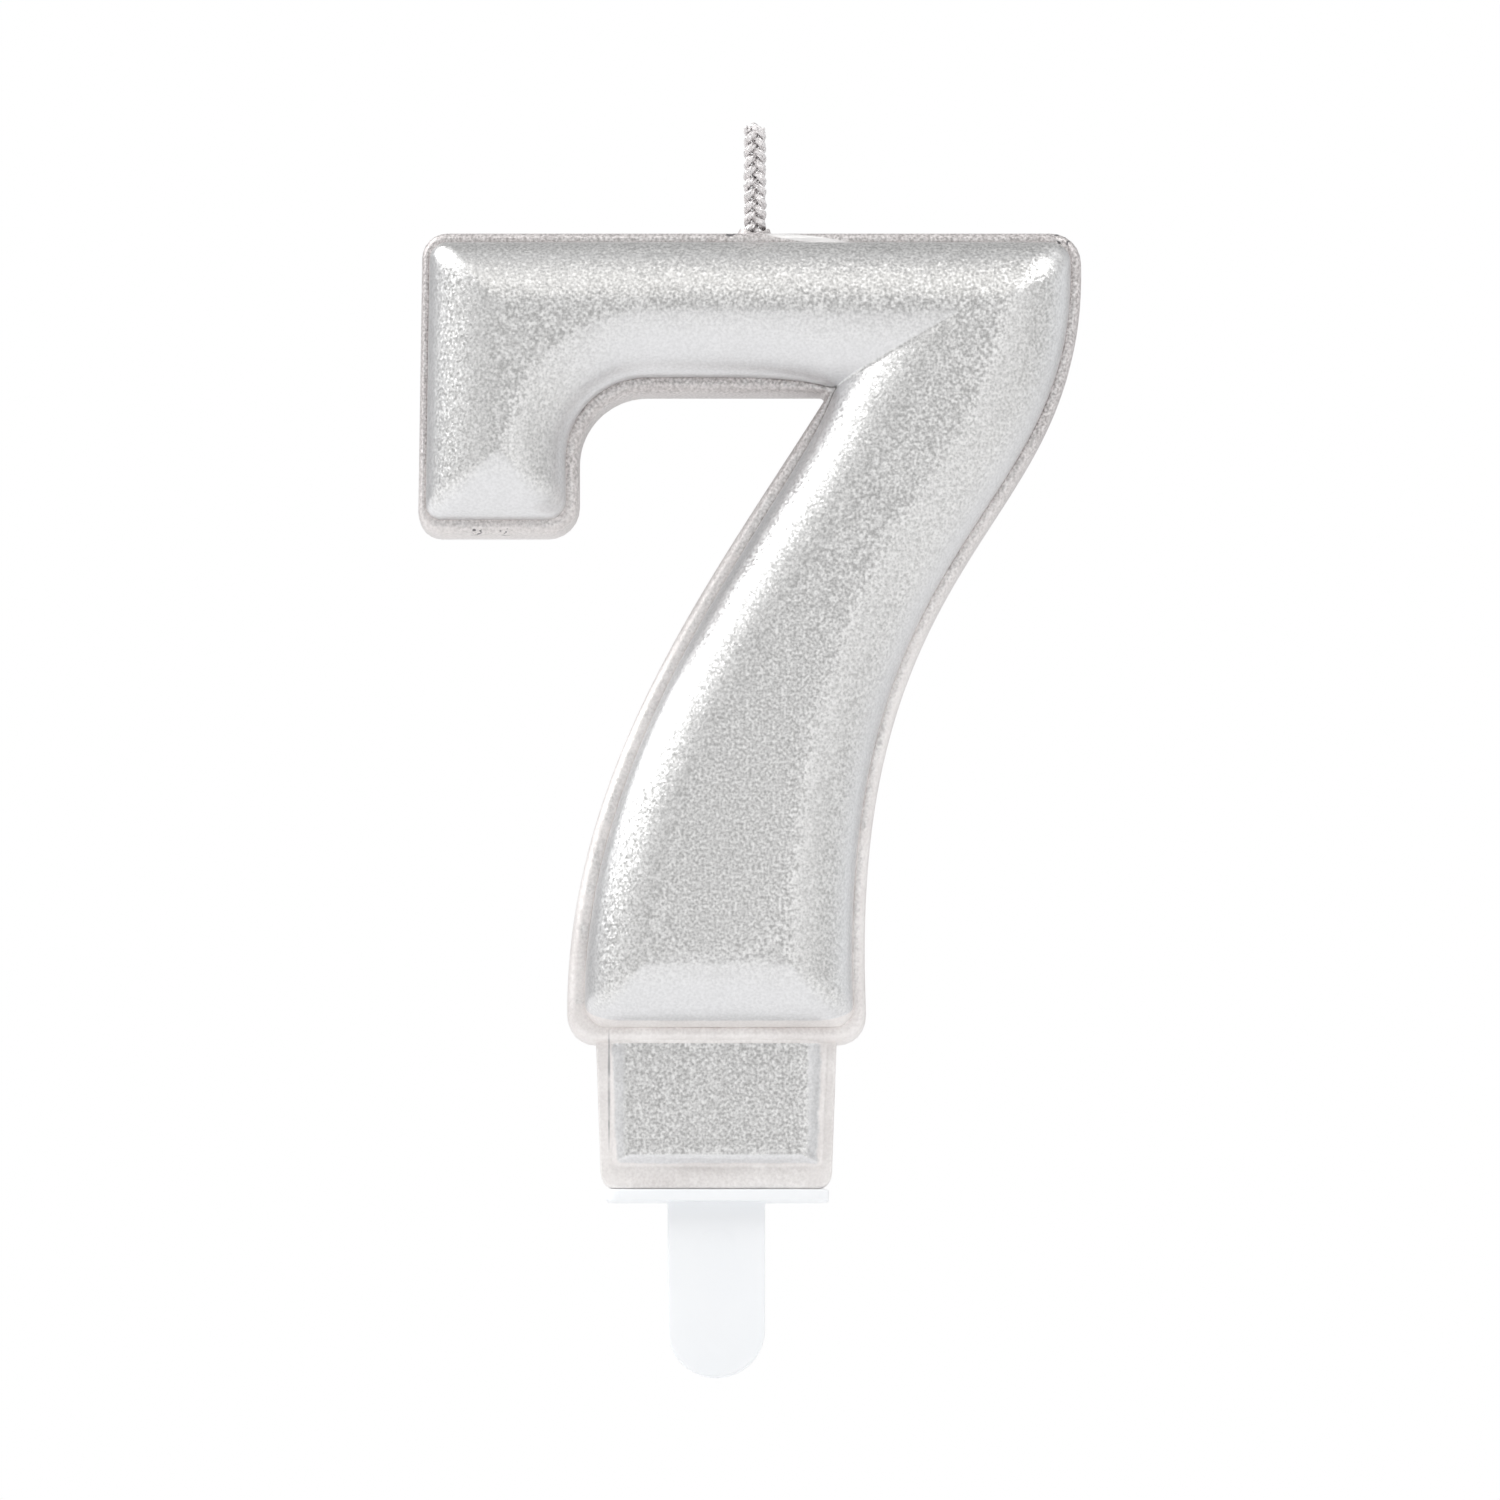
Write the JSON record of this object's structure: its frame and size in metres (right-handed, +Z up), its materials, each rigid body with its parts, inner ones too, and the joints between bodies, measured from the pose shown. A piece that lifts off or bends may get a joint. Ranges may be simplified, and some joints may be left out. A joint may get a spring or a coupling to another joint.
{
  "type": "number birthday candle",
  "caption": "Cast wax numeral candle shaped as a seven, silver lacquered, with a plaited wick and a plastic pick holder.",
  "frame": {"origin": "centre of the underside of the holder's plate, where it meets the top of the cake, in the plane of the wick and the pick", "axes": "+Z up along the wick, +X to the right seen from the front, -Y out of the raised front face"},
  "size_m": [0.0527, 0.0101, 0.1],
  "materials": {
    "wax": "soft waxy, slightly translucent",
    "silver_lacquer": "satin metallic lacquer with a fine glitter grain",
    "wick_yarn": "plaited cotton, waxed and sprayed silver",
    "white_plastic": "semi-gloss moulded"
  },
  "bodies": {
    "holder": {"holder": "white_plastic"},
    "candle": {"wax_body": "wax", "silver_coat": "silver_lacquer", "wick_strand_1": "wick_yarn", "wick_strand_2": "wick_yarn", "wick_strand_3": "wick_yarn"}
  },
  "joints": [
    {"name": "candle_lift", "type": "slide", "parent": "holder", "child": "candle", "axis": [0, 0, 1], "range_m": [0, 0.011]}
  ]
}
